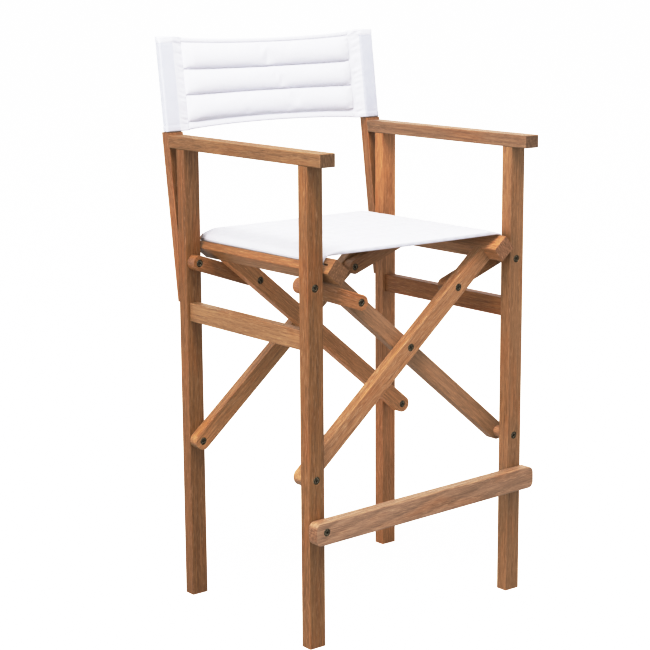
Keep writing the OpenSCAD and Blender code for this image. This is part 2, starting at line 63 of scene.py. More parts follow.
# ---------------------------------------------------------------- node helpers
class G:
    """A small builder for shader nodes."""

    def __init__(self, name):
        self.mat = bpy.data.materials.new(name)
        self.mat.use_nodes = True
        self.t = self.mat.node_tree
        self.t.nodes.clear()
        self.out = self.t.nodes.new("ShaderNodeOutputMaterial")
        self.bsdf = self.t.nodes.new("ShaderNodeBsdfPrincipled")
        self.t.links.new(self.bsdf.outputs[0], self.out.inputs[0])

    def n(self, kind, **props):
        x = self.t.nodes.new(kind)
        for k, v in props.items():
            setattr(x, k, v)
        return x

    def put(self, sock, v):
        if hasattr(v, "is_output") or isinstance(v, bpy.types.NodeSocket):
            self.t.links.new(v, sock)
        else:
            sock.default_value = v

    def math(self, op, a, b=0.0, c=0.0, clamp=False):
        x = self.n("ShaderNodeMath", operation=op, use_clamp=clamp)
        self.put(x.inputs[0], a)
        self.put(x.inputs[1], b)
        self.put(x.inputs[2], c)
        return x.outputs[0]

    def dot(self, v, axis):
        x = self.n("ShaderNodeVectorMath", operation="DOT_PRODUCT")
        self.put(x.inputs[0], v)
        x.inputs[1].default_value = tuple(axis)
        return x.outputs["Value"]

    def xyz(self, a, b, c):
        x = self.n("ShaderNodeCombineXYZ")
        for s, v in zip(x.inputs, (a, b, c)):
            self.put(s, v)
        return x.outputs[0]

    def noise(self, vec, scale=1.0, detail=3.0, rough=0.55, distortion=0.0):
        x = self.n("ShaderNodeTexNoise")
        x.inputs["Scale"].default_value = scale
        x.inputs["Detail"].default_value = detail
        x.inputs["Roughness"].default_value = rough
        x.inputs["Distortion"].default_value = distortion
        self.put(x.inputs["Vector"], vec)
        return x.outputs["Fac"]

    def ramp(self, v, stops, mode="LINEAR"):
        x = self.n("ShaderNodeValToRGB")
        x.color_ramp.interpolation = mode
        while len(x.color_ramp.elements) > 1:
            x.color_ramp.elements.remove(x.color_ramp.elements[-1])
        for i, (p, c) in enumerate(stops):
            e = x.color_ramp.elements[0] if i == 0 else x.color_ramp.elements.new(p)
            e.position = p
            e.color = (*c, 1.0) if len(c) == 3 else c
        self.put(x.inputs[0], v)
        return x.outputs[0]

    def mix(self, f, a, b, mode="MIX"):
        x = self.n("ShaderNodeMix", data_type="RGBA", blend_type=mode)
        self.put(x.inputs["Factor"], f)
        self.put(x.inputs[6], a)
        self.put(x.inputs[7], b)
        return x.outputs[2]

    def fit(self, v, a, b, c, d):
        x = self.n("ShaderNodeMapRange")
        self.put(x.inputs[0], v)
        for i, k in enumerate((a, b, c, d)):
            x.inputs[i + 1].default_value = k
        return x.outputs[0]

    def bump(self, h, strength, dist, prev=None):
        x = self.n("ShaderNodeBump")
        x.inputs["Strength"].default_value = strength
        x.inputs["Distance"].default_value = dist
        self.put(x.inputs["Height"], h)
        if prev is not None:
            self.put(x.inputs["Normal"], prev)
        return x.outputs[0]


def srgb(r, g, b):
    f = lambda c: (c / 255.0) / 12.92 if c <= 10 else ((c / 255.0 + 0.055) / 1.055) ** 2.4
    return (f(r), f(g), f(b))


# ---------------------------------------------------------------- wood
def wood(name, along, wide, seed, tone=1.0, figure=0.5, warm=0.0, pale=0.0, calm=0.0, tint=(1.0, 1.0, 1.0)):
    """along: the grain's direction; wide: the direction across the broad face."""
    kk = lambda *c: tuple(tone * t * x for t, x in zip(tint, srgb(*c)))
    a = Vector(along).normalized()
    c = a.cross(Vector(wide)).normalized()
    b = c.cross(a).normalized()
    rng = np.random.RandomState(seed)
    g = G(name)
    tc = g.n("ShaderNodeTexCoord")
    p = tc.outputs["Object"]
    u = g.math("ADD", g.dot(p, a), float(rng.uniform(0, 40)))
    v = g.math("ADD", g.dot(p, b), float(rng.uniform(0, 3)))
    w = g.math("ADD", g.dot(p, c), float(rng.uniform(0, 3)))
    # growth rings: distance from a pith line beside the board
    v0 = g.dot(p, b)
    w0 = g.dot(p, c)
    drift = g.math("MULTIPLY", u, float(rng.uniform(0.012, 0.035)) * rng.choice([-1, 1]))
    wob = g.noise(g.xyz(g.math("MULTIPLY", u, 3.1), g.math("MULTIPLY", v, 9.0), g.math("MULTIPLY", w, 9.0)), 1.0, 2.0, 0.5)
    vv = g.math("ADD", g.math("ADD", v0, float(rng.uniform(-0.02, 0.02) * (0.3 if figure > 0.6 else 1.0))), drift)
    vv = g.math("ADD", vv, g.math("MULTIPLY", g.math("SUBTRACT", wob, 0.5), 0.055))
    ww = g.math("ADD", g.math("ADD", w0, float(rng.uniform(0.018, 0.05))), g.math("MULTIPLY", u, float(rng.uniform(0.02, 0.05))))
    cv = g.n("ShaderNodeVectorMath", operation="LENGTH")
    g.put(cv.inputs[0], g.xyz(vv, ww, 0.0))
    r = g.math("ADD", cv.outputs["Value"], g.math("MULTIPLY", g.noise(g.xyz(g.math("MULTIPLY", u, 9.0), g.math("MULTIPLY", v, 60.0), g.math("MULTIPLY", w, 60.0)), 1.0, 3.0), 0.006))
    ring = g.math("FRACT", g.math("MULTIPLY", r, 1.0 / float(rng.uniform(0.0055, 0.0085))))
    ring = g.ramp(ring, [(0.0, (0.15,) * 3), (0.55, (0.45,) * 3), (0.86, (1.0,) * 3), (0.95, (0.55,) * 3), (1.0, (0.15,) * 3)], "B_SPLINE")
    # long fibre streaks, in three sizes
    s1 = g.noise(g.xyz(g.math("MULTIPLY", u, 4.5), g.math("MULTIPLY", v, 210.0), g.math("MULTIPLY", w, 210.0)), 1.0, 4.0, 0.62)
    s2 = g.noise(g.xyz(g.math("MULTIPLY", u, 16.0), g.math("MULTIPLY", v, 520.0), g.math("MULTIPLY", w, 520.0)), 1.0, 3.0, 0.6)
    s3 = g.noise(g.xyz(g.math("MULTIPLY", u, 55.0), g.math("MULTIPLY", v, 1500.0), g.math("MULTIPLY", w, 1500.0)), 1.0, 2.0, 0.5)
    big = g.noise(g.xyz(g.math("MULTIPLY", u, 2.2), g.math("MULTIPLY", v, 14.0), g.math("MULTIPLY", w, 14.0)), 1.0, 2.0, 0.5)
    val = g.math("ADD", g.math("MULTIPLY", ring, figure), g.math("MULTIPLY", g.fit(s1, 0.28, 0.72, 0.0, 1.0), 1.0 - figure))
    val = g.math("ADD", g.math("MULTIPLY", val, 0.62 - 0.22 * calm), g.math("MULTIPLY", g.fit(s2, 0.3, 0.7, 0.0, 1.0), 0.38 - 0.06 * calm), clamp=True)
    lite = kk(184 + warm * 6, 144 + pale * 5, 103 + pale * 13)
    mid = kk(151 + warm * 6, 111 + pale * 5, 72 + pale * 12)
    dark = kk(107 + warm * 5, 72 + pale * 5, 41 + pale * 10)
    col = g.ramp(val, [(0.0, lite), (0.45, mid), (1.0, dark)])
    # slow change of tone along the board
    col = g.mix(g.fit(big, 0.3, 0.7, 0.0, 0.80 - 0.4 * calm), col, g.mix(1.0, col, (0.76, 0.66, 0.52, 1.0), "MULTIPLY"))
    pat = g.noise(g.xyz(g.math("MULTIPLY", u, 7.0), g.math("MULTIPLY", v, 30.0), g.math("MULTIPLY", w, 30.0)), 1.0, 2.0, 0.5)
    col = g.mix(g.fit(pat, 0.50, 0.70, 0.0, 0.6 - 0.4 * calm), col, g.mix(1.0, col, (1.12, 0.90, 0.64, 1.0), "MULTIPLY"))
    # pale flecks and dark pores
    fleck = g.math("MULTIPLY", g.fit(s3, 0.56, 0.68, 0.0, 0.60), g.fit(s1, 0.40, 0.62, 0.35, 1.0))
    col = g.mix(fleck, col, (*kk(205, 174, 143), 1.0))
    pore = g.fit(s3, 0.30, 0.40, 0.60 - 0.2 * calm, 0.0)
    col = g.mix(pore, col, (*kk(74, 42, 24), 1.0))
    # a darker mineral streak here and there
    streak = g.noise(g.xyz(g.math("MULTIPLY", u, 1.4), g.math("MULTIPLY", v, 70.0), g.math("MULTIPLY", w, 70.0)), 1.0, 3.0, 0.6)
    col = g.mix(g.fit(streak, 0.62, 0.80, 0.0, 0.45 - 0.3 * calm), col, (*kk(98, 58, 30), 1.0))
    # end grain on faces square to the fibres
    nd = g.math("ABSOLUTE", g.dot(tc.outputs["Normal"], a))
    endm = g.fit(nd, 0.80, 0.97, 0.0, 1.0)
    rays = g.noise(g.xyz(g.math("MULTIPLY", v, 420.0), g.math("MULTIPLY", w, 90.0), 0.0), 1.0, 3.0, 0.65)
    dots = g.noise(g.xyz(g.math("MULTIPLY", v, 1100.0), g.math("MULTIPLY", w, 700.0), 0.0), 1.0, 2.0, 0.6)
    ecol = g.ramp(g.math("ADD", g.math("ADD", g.math("MULTIPLY", ring, 0.16), g.math("MULTIPLY", g.fit(rays, 0.3, 0.7, 0.0, 1.0), 0.50)), g.math("MULTIPLY", dots, 0.34)),
                  [(0.12, kk(96, 66, 42)), (0.5, kk(124, 91, 64)), (0.9, kk(168, 134, 104))])
    col = g.mix(endm, col, ecol)
    g.put(g.bsdf.inputs["Base Color"], col)
    rough = g.fit(s2, 0.2, 0.8, 0.40, 0.58)
    g.put(g.bsdf.inputs["Roughness"], rough)
    g.bsdf.inputs["Specular IOR Level"].default_value = 0.5
    h = g.math("ADD", g.math("MULTIPLY", s2, 0.5), g.math("MULTIPLY", s3, 0.5))
    n1 = g.bump(h, 0.28, 0.0006)
    n2 = g.bump(s1, 0.12, 0.0015, n1)
    g.put(g.bsdf.inputs["Normal"], n2)
    return g.mat


# ---------------------------------------------------------------- metal
def metal(name, seed=0):
    g = G(name)
    tc = g.n("ShaderNodeTexCoord")
    p = tc.outputs["Object"]
    f = g.noise(p, 520.0, 4.0, 0.6)
    f2 = g.noise(p, 3800.0, 2.0, 0.5)
    col = g.ramp(f, [(0.34, srgb(34, 31, 26)), (0.52, srgb(78, 71, 57)), (0.66, srgb(176, 167, 142))])
    g.put(g.bsdf.inputs["Base Color"], col)
    g.bsdf.inputs["Metallic"].default_value = 0.85
    g.put(g.bsdf.inputs["Roughness"], g.fit(f2, 0.3, 0.7, 0.22, 0.40))
    g.put(g.bsdf.inputs["Normal"], g.bump(f2, 0.15, 0.0002))
    return g.mat


def plastic(name, c):
    g = G(name)
    tc = g.n("ShaderNodeTexCoord")
    f = g.noise(tc.outputs["Object"], 1200.0, 3.0, 0.5)
    g.put(g.bsdf.inputs["Base Color"], g.ramp(f, [(0.3, tuple(0.9 * x for x in c)), (0.7, c)]))
    g.bsdf.inputs["Roughness"].default_value = 0.5
    g.put(g.bsdf.inputs["Normal"], g.bump(f, 0.1, 0.0002))
    return g.mat


# ---------------------------------------------------------------- canvas
def canvas(name, wa, wb, pitch=0.00085, tint=(0.0, 0.0, 0.0), behind=None):
    """White woven canvas; wa and wb are the thread directions."""
    g = G(name)
    tc = g.n("ShaderNodeTexCoord")
    p = tc.outputs["Object"]
    ka = 2 * math.pi / pitch
    A = g.math("MULTIPLY", g.dot(p, Vector(wa).normalized()), ka)
    B = g.math("MULTIPLY", g.dot(p, Vector(wb).normalized()), ka)
    jit = g.math("MULTIPLY", g.noise(p, 260.0, 2.0), 2.2)
    sa_ = g.math("SINE", g.math("ADD", A, jit))
    sb_ = g.math("SINE", g.math("ADD", B, jit))
    sa2 = g.math("ABSOLUTE", g.math("SINE", g.math("MULTIPLY", g.math("ADD", A, jit), 0.5)))
    sb2 = g.math("ABSOLUTE", g.math("SINE", g.math("MULTIPLY", g.math("ADD", B, jit), 0.5)))
    over = g.math("MULTIPLY", sa_, sb_)
    threads = g.math("MAXIMUM", g.math("MULTIPLY", sa2, g.fit(over, -1, 1, 0.55, 1.0)), g.math("MULTIPLY", sb2, g.fit(over, -1, 1, 1.0, 0.55)))
    slub = g.noise(g.xyz(g.math("MULTIPLY", g.dot(p, Vector(wa)), 60.0), g.math("MULTIPLY", g.dot(p, Vector(wb)), 900.0), 0.0), 1.0, 2.0)
    slub2 = g.noise(g.xyz(g.math("MULTIPLY", g.dot(p, Vector(wa)), 900.0), g.math("MULTIPLY", g.dot(p, Vector(wb)), 60.0), 0.0), 1.0, 2.0)
    sl = g.math("MULTIPLY", g.math("ADD", slub, slub2), 0.5)
    base = srgb(214, 214, 220)
    low = srgb(196, 196, 203)
    col = g.ramp(threads, [(0.25, tuple(x - t for x, t in zip(low, tint))), (0.85, tuple(x - t for x, t in zip(base, tint)))])
    col = g.mix(g.fit(sl, 0.35, 0.65, 0.0, 0.22), col, (*srgb(207, 207, 214), 1.0))
    blot = g.noise(p, 14.0, 3.0, 0.5)
    col = g.mix(g.fit(blot, 0.4, 0.75, 0.0, 0.18), col, (*srgb(208, 208, 214), 1.0))
    if behind is not None:
        # the canvas lies on wood here, which shows through as a faintly greyer tone
        side, centre = behind
        xyz = g.n("ShaderNodeSeparateXYZ")
        g.put(xyz.inputs[0], p)
        dd = g.math("MULTIPLY", g.math("SUBTRACT", xyz.outputs[0], centre), side)
        m = g.math("MULTIPLY", g.fit(dd, -0.0196 if side > 0 else -0.0148, -0.0182 if side > 0 else -0.0130, 0.0, 1.0), g.fit(xyz.outputs[2], 1.1525, 1.1540, 1.0, 0.0))
        m = g.math("MULTIPLY", m, g.fit(g.noise(p, 30.0, 2.0), 0.3, 0.7, 0.85, 1.0))
        col = g.mix(m, col, g.mix(1.0, col, (0.76, 0.775, 0.80, 1.0), "MULTIPLY"))
    g.put(g.bsdf.inputs["Base Color"], col)
    g.bsdf.inputs["Roughness"].default_value = 0.88
    g.bsdf.inputs["Specular IOR Level"].default_value = 0.25
    g.bsdf.inputs["Sheen Weight"].default_value = 0.25
    g.bsdf.inputs["Sheen Roughness"].default_value = 0.6
    n1 = g.bump(threads, 0.35, 0.00022)
    n2 = g.bump(sl, 0.18, 0.0005, n1)
    rumple = g.noise(p, 38.0, 3.0, 0.45)
    n3 = g.bump(rumple, 0.22, 0.004, n2)
    g.put(g.bsdf.inputs["Normal"], n3)
    return g.mat


X, Y, Z = Vector((1, 0, 0)), Vector((0, 1, 0)), Vector((0, 0, 1))
A_DIR, B_DIR = Vector((CA, 0, SA)), Vector((-CA, 0, SA))
POST = Vector((0, SLOPE, 1)).normalized()
la = math.radians(-19.33)
LR, LL = Vector((math.cos(la), 0, math.sin(la))), Vector((-math.cos(la), 0, math.sin(la)))
ft = math.radians(1.1)
FOOT = Vector((math.cos(ft), 0, math.sin(ft)))
STEEL = metal("dark_bronze")
DOWEL = wood("dowel_wood", Y, X, 901, 1.25, 0.2, 0.0, 1.0)
ROD = plastic("rod_plastic", srgb(214, 214, 214))
# per member: tone and pale are partly the wood's own colour, partly painted light and shade; the footrest is paled
# towards the sheen on its top
WOODS = {
    "right_front_leg": (Z, X, 11, 0.80, 0.30, -0.2, -0.1),
    "right_rear_leg": (Z, X, 12, 0.80, 0.35, -0.2, 0.0),
    "right_armrest": (Y, X, 13, 0.94, 0.35, 0.0, 0.8, 0.3),
    "right_stretcher": (Y, Z, 14, 1.02, 0.30, 0.0, 0.8, 0.4),
    "right_back_post": (POST, X, 15, 0.94, 0.30, 0.0, 0.3),
    "left_front_leg": (Z, X, 21, 1.08, 0.30, 0.0, 1.2, 0.3),
    "left_rear_leg": (Z, X, 22, 1.34, 0.35, 0.0, 0.8, 0.3),
    "left_armrest": (Y, X, 23, 0.88, 0.35, 0.0, 1.6, 0.3),
    "left_stretcher": (Y, Z, 24, 0.90, 0.35),
    "left_back_post": (POST, X, 25, 1.0, 0.35, 0.0, 0.5),
    "left_spacers": (Y, X, 26, 1.25, 0.25, 0.0, 1.8, 0.6),
    "bar_a_front": (A_DIR, Y.cross(A_DIR), 31, 1.62, 0.30, 0.6, 0.4, 0.4),
    "bar_a_rear": (A_DIR, Y.cross(A_DIR), 32, 1.56, 0.30, 0.6, 0.4, 0.4),
    "bar_b_front": (B_DIR, Y.cross(B_DIR), 33, 1.07, 0.25, -0.6, 2.6, 0.9),
    "bar_b_rear": (B_DIR, Y.cross(B_DIR), 34, 0.98, 0.30, -0.4, 1.3, 0.7),
    "left_seat_rail": (Y, A_DIR, 41, 1.25, 0.35, 0.0, 0.8, 0.3),
    "right_seat_rail": (Y, B_DIR, 42, 1.19, 0.35, 0.0, 0.8, 0.3),
    "right_front_link": (LR, Y.cross(LR), 51, 1.2, 0.35),
    "right_rear_link": (LR, Y.cross(LR), 52, 1.05, 0.40),
    "left_front_link": (LL, Y.cross(LL), 53, 1.15, 0.35),
    "left_rear_link": (LL, Y.cross(LL), 54, 1.1, 0.35),
    "footrest": (FOOT, Z, 61, 1.16, 0.60, 0.0, 2.2, 0.3),
}
# each member's colour scale, red green blue: partly the wood's own stain, partly painted light and shade that lightens
# members lying in shade and darkens others
STAIN_AND_SHADE = {
    "right_front_leg": (1.05, 1.07, 1.01),
    "right_rear_leg": (1.00, 0.97, 0.88),
    "right_armrest": (0.84, 0.89, 0.85),
    "right_stretcher": (0.87, 0.94, 0.94),
    "left_armrest": (0.94, 0.99, 1.03),
    "left_front_leg": (0.93, 0.93, 0.84),
    "left_rear_leg": (0.99, 0.92, 0.81),
    "footrest": (0.98, 1.04, 1.10),
    "bar_b_front": (0.97, 0.85, 0.68),
    "bar_b_rear": (1.45, 1.28, 1.04),
    "bar_a_front": (0.75, 0.86, 0.96),
    "bar_a_rear": (0.67, 0.72, 0.69),
    "right_seat_rail": (0.82, 0.81, 0.73),
    "left_stretcher": (1.10, 0.95, 0.72),
}
for node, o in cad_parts.items():
    if node in WOODS:
        d, wd, *look = WOODS[node]
        m = wood("wood_" + node, d, wd, *look, tint=STAIN_AND_SHADE.get(node, (1.0, 1.0, 1.0)))
    elif "dowel" in node:
        m = DOWEL
    elif "rod" in node:
        m = ROD
    elif "screw" in node or "bolt" in node or "peg" in node:
        m = STEEL
    else:
        continue
    for s in o.material_slots:
        s.link = "OBJECT"
        s.material = m


# ---------------------------------------------------------------- mesh helpers
def make(name, verts, faces, mat, smooth=True):
    me = bpy.data.meshes.new(name)
    me.from_pydata([tuple(v) for v in verts], [], faces)
    me.update()
    bm = bmesh.new()
    bm.from_mesh(me)
    bmesh.ops.recalc_face_normals(bm, faces=bm.faces)
    bm.to_mesh(me)
    bm.free()
    o = bpy.data.objects.new(name, me)
    bpy.context.scene.collection.objects.link(o)
    me.materials.append(mat)
    if smooth:
        for f in me.polygons:
            f.use_smooth = True
    return o


def applied(o):
    """Applies all modifiers."""
    dg = bpy.context.evaluated_depsgraph_get()
    me = bpy.data.meshes.new_from_object(o.evaluated_get(dg))
    old = o.data
    o.modifiers.clear()
    o.data = me
    bpy.data.meshes.remove(old)
    return o


def subdiv(o, levels=1):
    m = o.modifiers.new("Sub", "SUBSURF")
    m.levels = m.render_levels = levels
    return applied(o)


def inflate(o, pins, cap, pressure=4.0, grow=-0.02, bend=0.8, tension=30.0, frames=20):
    """Puffs a closed pad with a cloth simulation, its pinned vertices held, no point moving more than cap."""
    vg = o.vertex_groups.new(name="pin")
    for i, wgt in pins:
        vg.add([int(i)], float(wgt), "REPLACE")
    rest = np.array([v.co for v in o.data.vertices], float)
    m = o.modifiers.new("Cloth", "CLOTH")
    s = m.settings
    s.quality = 6
    s.mass = 0.15
    s.tension_stiffness = tension
    s.compression_stiffness = tension
    s.shear_stiffness = tension * 0.5
    s.bending_stiffness = bend
    s.tension_damping = s.compression_damping = s.shear_damping = 12.0
    s.air_damping = 4.0
    s.use_pressure = True
    s.uniform_pressure_force = pressure
    s.vertex_group_mass = "pin"
    s.pin_stiffness = 1.0
    s.effector_weights.gravity = 0.0
    s.shrink_min = grow
    m.collision_settings.use_collision = False
    m.point_cache.frame_start = 1
    m.point_cache.frame_end = frames
    sc = bpy.context.scene
    for f in range(1, frames + 1):
        sc.frame_set(f)
    applied(o)
    sc.frame_set(1)
    co = np.array([v.co for v in o.data.vertices], float)
    d = co - rest
    ln = np.linalg.norm(d, axis=1)
    k = np.where(ln > cap, cap / np.maximum(ln, 1e-9), 1.0)
    co = rest + d * k[:, None]
    o.data.vertices.foreach_set("co", co.ravel())
    o.data.update()
    return o


def smooth_noise(x, y, z, s):
    return noise.noise(Vector((x * s, y * s, z * s)))


CANVAS_BACK = canvas("canvas_back", X, POST)
CANVAS_RIGHT = canvas("canvas_right_sleeve", X, POST, 0.00085, (0.0, 0.0, -0.005), (-1.0, (-263 + OX) * MM))
CANVAS_LEFT = canvas("canvas_left_sleeve", X, POST, 0.00085, (0.0, 0.0, -0.005), (1.0, (263 + OX) * MM))
# the seat's canvas is a darker copy of the same canvas: painted shade that holds back the stronger light falling on its
# top
CANVAS_SEAT = canvas("canvas_seat", X, Y, 0.00085, (0.045, 0.045, 0.045))
THREAD = canvas("stitch_thread", X, Z, 0.0004)

# ---------------------------------------------------------------- back panel
YM0 = 265.3 - 22.4 / math.cos(math.radians(7.5)) / 2 + (2.6 - 7.6) / 2     # middle of the sleeved post at z 973


def post_mid(z):
    return YM0 + (z - 973.0) * SLOPE


SEAM_R, SEAM_L = -225.0, 217.0


def row_z(tau, s):
    """Height of a line of the panel: tau 0 bottom to 1 top, s -1..1 across."""
    q = 1 - s * s
    zb = 974.6 + 7.5 * q ** 0.8
    zt = 1163.2 - 8.0 * q ** 0.8
    ends = 974.6 + (1163.2 - 974.6) * tau
    mid = zb + (zt - zb) * tau
    return ends + (mid - ends)


TAU = [0.0, 0.083, 0.373, 0.655, 0.947, 1.0]      # bottom edge, hem, channels, hem, top edge
FR = [0.0, 0.018, 0.05, 0.10, 0.17, 0.26, 0.37, 0.49, 0.61, 0.72, 0.82, 0.90, 0.95, 0.982]


def back_panel():
    nx = 96
    taus, kinds = [], []
    for k in range(5):
        for f in (FR if k in (1, 2, 3) else ((0.0, 0.10, 0.5, 0.88) if k == 0 else (0.0, 0.2, 0.55, 0.88))):
            taus.append(TAU[k] + (TAU[k + 1] - TAU[k]) * f)
            kinds.append((k, f))
    taus.append(1.0)
    kinds.append((5, 0.0))
    nr = len(taus)
    rng = np.random.RandomState(5)
    verts, pins = [], []
    for side in (-1, 1):                       # -1 front layer, 1 rear layer
        for j, (t, (k, f)) in enumerate(zip(taus, kinds)):
            for i in range(nx + 1):
                s = -1 + 2 * i / nx
                x = (SEAM_R + SEAM_L) / 2 + s * (SEAM_L - SEAM_R) / 2
                z = row_z(t, s)
                bow = 5.0 * (1 - s * s)
                y = post_mid(z) + bow
                endf = min(1.0, (1 - abs(s)) * 221.0 / 26.0)
                if k in (1, 2, 3):
                    t_ = (0.40 - f) / 0.40 if f < 0.40 else (f - 0.40) / 0.60
                    g_ = (1 - t_ ** 2.0) ** (0.5 if f < 0.40 else 0.72)
                    h = 0.25 + (9.0 if side < 0 else 5.0) * g_ * (0.25 + 0.75 * endf ** 0.55)
                else:
                    h = 2.5
                    if k == 5 or (k == 0 and f == 0.0):
                        h = 0.9
                    elif (k == 4 and f == 0.0) or (k == 0 and f > 0.8):
                        h = 0.35
                if side < 0 and k in (1, 2, 3) and f > 0.0:
                    # puckers where the filling is caught in the side seams
                    dist = (1 - abs(s)) * 221.0
                    sl = z + math.copysign(1.0, s) * dist * 0.25
                    h += (3.8 if s > 0 else 2.4) * math.exp(-(dist / 12.0) ** 1.3) * min(1.0, dist / 2.5) * (noise.noise(Vector((sl / 6.0, 3.0 * math.copysign(1.0, s), 9.1))) + 0.4 * noise.noise(Vector((sl / 2.8, 1.7, 4.2))))
                y += side * h
                verts.append(P(x, y, z))
                idx = len(verts) - 1
                if k in (0, 4, 5) or f == 0.0 or i in (0, nx):
                    pins.append((idx, 1.0))
    W = nx + 1
    off = nr * W
    faces = []
    for j in range(nr - 1):
        for i in range(nx):
            a = j * W + i
            faces.append((a, a + 1, a + W + 1, a + W))
            faces.append((off + a, off + a + W, off + a + W + 1, off + a + 1))
    for i in range(nx):
        faces.append((i, off + i, off + i + 1, i + 1))
        a = (nr - 1) * W + i
        faces.append((a, a + 1, off + a + 1, off + a))
    for j in range(nr - 1):
        a, b = j * W, (j + 1) * W
        faces.append((a, b, off + b, off + a))
        a, b = j * W + nx, (j + 1) * W + nx
        faces.append((a, off + a, off + b, b))
    o = make("back_pad", verts, faces, CANVAS_BACK)
    inflate(o, pins, 0.003, pressure=3.2, grow=-0.002, bend=11.0, tension=15.0)
    subdiv(o, 1)
    return o


pad = back_panel()
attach(pad, "right_frame")
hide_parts("back_panel")
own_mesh(pad)


# ---------------------------------------------------------------- back sleeves
def sleeve(s, body, node):
    """One layer of canvas from the seam round the post and back to the seam. s -1 right, +1 left."""
    D = 22.4 / math.cos(math.radians(7.5)) - 2.6 - 7.6
    o_ = 1.15                                     # clear of the wood
    x_in, x_out = 263 - 17 - o_, 263 + 17 + o_
    yf, yr = -D / 2 - o_, D / 2 + o_
    seam = (-SEAM_R if s < 0 else SEAM_L) - 1.3
    R = 2.6
    path = []

    def line(p, q, n):
        for i in range(n):
            f = i / n
            path.append((p[0] + (q[0] - p[0]) * f, p[1] + (q[1] - p[1]) * f))

    def arc(cx, cy, r, a0, a1, n):
        for i in range(n):
            t = math.radians(a0 + (a1 - a0) * i / n)
            path.append((cx + r * math.cos(t), cy + r * math.sin(t)))
    # from the seam, front layer: to the inner front corner, along the front face, outer face, rear face, back
    line((seam, -0.7), (x_in + 0.6, yf + 0.9), 10)
    line((x_in + 0.6, yf + 0.9), (x_in + 3.2, yf), 2)
    line((x_in + 3.2, yf), (x_out - R, yf), 10)
    arc(x_out - R, yf + R, R, -90, 0, 4)
    line((x_out, yf + R), (x_out, yr - R), 4)
    arc(x_out - R, yr - R, R, 0, 90, 4)
    line((x_out - R, yr), (x_in + 3.2, yr), 10)
    line((x_in + 3.2, yr), (x_in + 0.6, yr - 0.9), 2)
    line((x_in + 0.6, yr - 0.9), (seam, 0.7), 10)
    path.append((seam, 0.7))
    # the left sleeve's canvas runs on inside the panel, so that the join stays closed when the frames lean
    ex = 4 if s > 0 else 0
    path = [(seam - 32.0 + 8.0 * i, 0.0) for i in range(ex)] + path
    npt = len(path)
    z0, z1 = 974.6, 1165.6
    nz = 76
    rng = np.random.RandomState(7 if s < 0 else 8)
    ph = rng.uniform(0, 50, 3)
    verts = []
    for j in range(nz + 1):
        z = z0 + (z1 - z0) * j / nz
        for k, (x, y) in enumerate(path):
            # puckers run away from the seam and fade at the post's corner
            d = max(0.0, (x_in + 5 - x) / 28.0)
            front = 1.0 if k < (npt + ex) / 2 else -1.0
            puck = 0.0
            if d > 0:
                sl = z - (x - seam) * 0.27
                puck = (d ** 0.7) * (1 - min(1.0, d) ** 8) * 2.3 * (noise.noise(Vector((sl / 6.5, ph[0], front + x / 40.0))) + 0.45 * noise.noise(Vector((sl / 3.0, ph[1], front))))
            soft = 0.45 * noise.noise(Vector((x / 22.0, z / 40.0, ph[2] + front)))
            # hems: a folded band a little thicker at the foot and the top
            hem = 0.55 if z < z0 + 12 else (0.75 if z > z1 - 12 else 0.0)
            groove = 0.5 * math.exp(-((z - (z0 + 12)) / 1.0) ** 2) + 0.6 * math.exp(-((z - (z1 - 12)) / 1.2) ** 2)
            # outward direction
            if k < 22 + ex:
                nx_, ny_ = 0.0, -1.0
            elif k >= npt - 23:
                nx_, ny_ = 0.0, 1.0
            else:
                nx_, ny_ = 1.0, 0.0
            wav = 0.0
            amt = puck + soft * 0.6 + hem - groove
            xx, yy = x + nx_ * amt, y + ny_ * amt
            zz = z
            if k < 12 + ex or k > npt - 13:
                # panel's own edge is a little lower at the seam
                f = min(1.0, max(0.0, (x_in - x) / 18.0))
                zz = z - f * 2.0 * (j / nz)
            if j == 0:
                zz += 0.5 * noise.noise(Vector((x / 9.0, y / 9.0, ph[1])))
            if k < ex:
                q = (x - (SEAM_R + SEAM_L) / 2) / ((SEAM_L - SEAM_R) / 2)
                lo_, hi_ = row_z(0.0, q) + 1.6, row_z(1.0, q) - 1.6
                xx, zz = x, lo_ + (hi_ - lo_) * j / nz
                yy = 5.0 * (1 - q * q)
            verts.append(P(s * xx, post_mid(zz) + yy, zz))
    faces = []
    for j in range(nz):
        for k in range(npt - 1):
            a = j * npt + k
            faces.append((a, a + 1, a + npt + 1, a + npt))
    o = make("back_sleeve_right" if s < 0 else "back_sleeve_left", verts, faces, CANVAS_RIGHT if s < 0 else CANVAS_LEFT)
    sol = o.modifiers.new("Solid", "SOLIDIFY")
    sol.thickness = 0.0009
    sol.offset = 0.0
    applied(o)
    for f in o.data.polygons:
        f.use_smooth = True
    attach(o, body)
    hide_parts(node)
    # folded cap over the post's top
    cap = [(x, y) for x, y in path[ex:]]
    n = len(cap)
    cv = []
    rings = 5
    cx, cy = 263.0, 0.0
    for r_ in range(rings):
        f = 1 - r_ / rings
        for k, (x, y) in enumerate(cap):
            xx = cx + (x - cx) * (f if r_ else 1.0)
            yy = cy + (y - cy) * (f if r_ else 1.0)
            zt = z1 - 0.2 + 0.9 * (1 - f * f)
            if x < x_in:
                zt -= 2.0 * min(1.0, (x_in - x) / 18.0) * f
            cv.append(P(s * xx, post_mid(zt) + yy, zt))
    cv.append(P(s * cx, post_mid(z1 + 0.8) + cy, z1 + 0.7))
    cf = []
    for r_ in range(rings - 1):
        for k in range(n - 1):
            a = r_ * n + k
            cf.append((a, a + 1, a + n + 1, a + n))
    a = (rings - 1) * n
    for k in range(n - 1):
        cf.append((a + k, a + k + 1, len(cv) - 1))
    c = make(o.name + "_top", cv, cf, CANVAS_RIGHT if s < 0 else CANVAS_LEFT)
    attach(c, body)
    return o


sleeve(-1, "right_frame", "right_back_sleeve")
sleeve(1, "left_frame", "left_back_sleeve")

